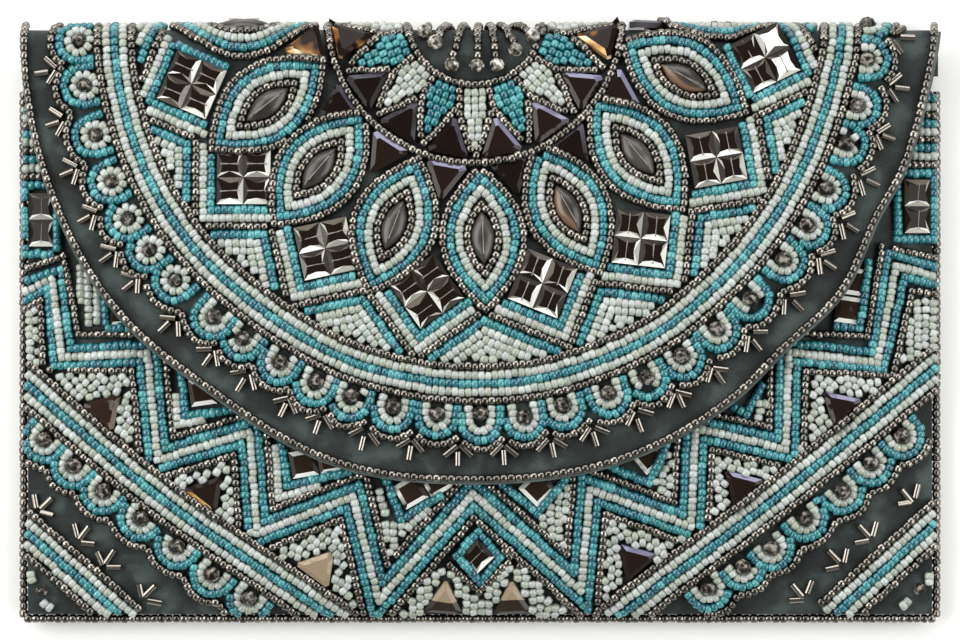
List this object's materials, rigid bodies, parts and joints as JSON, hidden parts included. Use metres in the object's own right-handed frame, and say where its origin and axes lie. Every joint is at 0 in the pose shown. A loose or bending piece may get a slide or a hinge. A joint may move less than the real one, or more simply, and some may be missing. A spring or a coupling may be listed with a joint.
{
  "type": "beaded clutch bag",
  "caption": "Envelope clutch of dark cloth with a half-round flap, covered in seed beads and cut glass stones in a rose pattern, lying on its back.",
  "frame": {"origin": "under the middle of the bag, on the surface that its back lies on", "axes": "+X across the bag, right in the picture; +Y toward the top fold; +Z out of the beaded front"},
  "size_m": [0.254, 0.1666, 0.0238],
  "materials": {
    "velvet": "short nap",
    "gunmetal_beads": "polished",
    "white_beads": "pearl",
    "turquoise_beads": "lustre",
    "clear_crystal": "polished",
    "snap_metal": "satin",
    "grey_glass": "polished",
    "mirror_glass": "polished",
    "black_glass": "polished",
    "brown_glass": "polished"
  },
  "bodies": {
    "root": {"front_panel": "velvet", "back_panel": "velvet", "flap": "velvet", "flap_edge_beads": "gunmetal_beads", "pouch_edge_beads": "gunmetal_beads", "magnetic_snap": "snap_metal", "marquise_1": "grey_glass", "marquise_2": "grey_glass", "marquise_3": "grey_glass", "marquise_4": "grey_glass", "marquise_5": "grey_glass", "marquise_6": "grey_glass", "marquise_7": "grey_glass", "marquise_8": "grey_glass", "marquise_9": "grey_glass", "square_quad_1": "mirror_glass", "square_quad_2": "mirror_glass", "square_quad_3": "mirror_glass", "square_quad_4": "mirror_glass", "square_quad_5": "mirror_glass", "square_quad_6": "mirror_glass", "square_quad_7": "mirror_glass", "square_quad_8": "mirror_glass", "inner_triangle_1": "black_glass", "inner_triangle_2": "black_glass", "inner_triangle_3": "black_glass", "inner_triangle_4": "black_glass", "inner_triangle_5": "black_glass", "inner_triangle_6": "black_glass", "inner_triangle_7": "black_glass", "inner_triangle_8": "black_glass", "outer_triangle_1": "black_glass", "outer_triangle_2": "black_glass", "outer_triangle_3": "black_glass", "outer_triangle_4": "black_glass", "outer_triangle_5": "black_glass", "outer_triangle_6": "black_glass", "outer_triangle_7": "black_glass", "outer_triangle_8": "black_glass", "front_triangle_1": "brown_glass", "front_triangle_2": "brown_glass", "front_triangle_3": "brown_glass", "front_triangle_4": "brown_glass", "front_triangle_5": "brown_glass", "front_triangle_6": "brown_glass", "front_triangle_7": "brown_glass", "front_triangle_8": "brown_glass", "front_square": "mirror_glass", "front_pair_left": "mirror_glass", "front_pair_right": "mirror_glass"}
  },
  "joints": []
}
